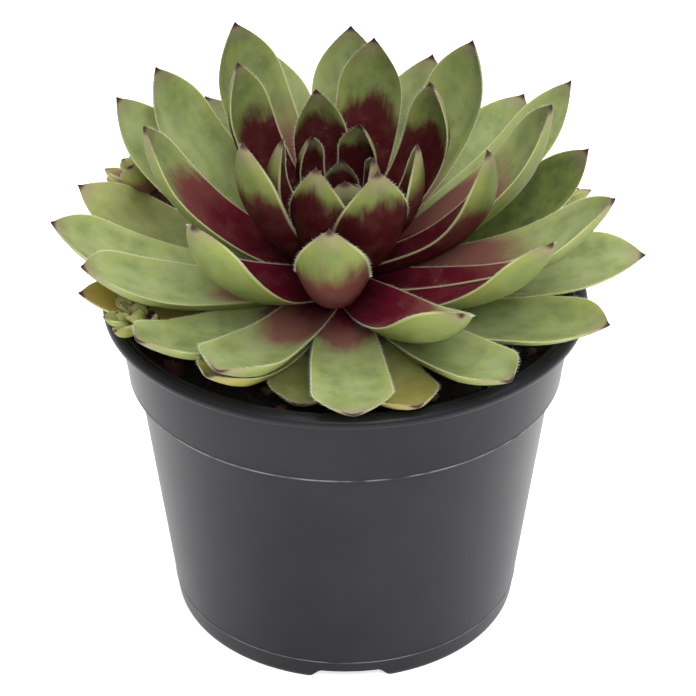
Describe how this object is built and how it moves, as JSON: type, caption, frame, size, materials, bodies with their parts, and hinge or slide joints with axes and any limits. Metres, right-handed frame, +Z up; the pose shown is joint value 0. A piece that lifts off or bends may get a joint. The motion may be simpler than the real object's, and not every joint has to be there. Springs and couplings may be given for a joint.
{
  "type": "potted houseleek",
  "caption": "Houseleek rosette of fleshy pointed leaves with young offsets at its side, rooted in soil in a tapered round nursery pot with a stacking collar.",
  "frame": {"origin": "on the surface that the pot stands on, at the middle of the whole object's bounding box; the pot's axis stands at x 0, y +4.5 mm, because the rosette leans forward", "axes": "+Z up along the pot's axis; -Y towards the viewer of the picture, the side that the rosette leans to; +X to the right in the picture"},
  "size_m": [0.1239, 0.1179, 0.1309],
  "materials": {
    "pot_plastic": "satin dark grey, as moulded",
    "potting_soil": "dull and crumbly, bark and peat",
    "leaf_green": "waxy and satin, maroon towards the foot",
    "offset_front_left_green": "waxy and satin",
    "offset_back_left_green": "waxy and satin, reddish",
    "offset_back_right_green": "waxy and satin"
  },
  "bodies": {
    "root": {"pot": "pot_plastic", "soil": "potting_soil", "main_rosette": "leaf_green", "offset_front_left": "offset_front_left_green", "offset_back_left": "offset_back_left_green", "offset_back_right": "offset_back_right_green"}
  },
  "joints": []
}
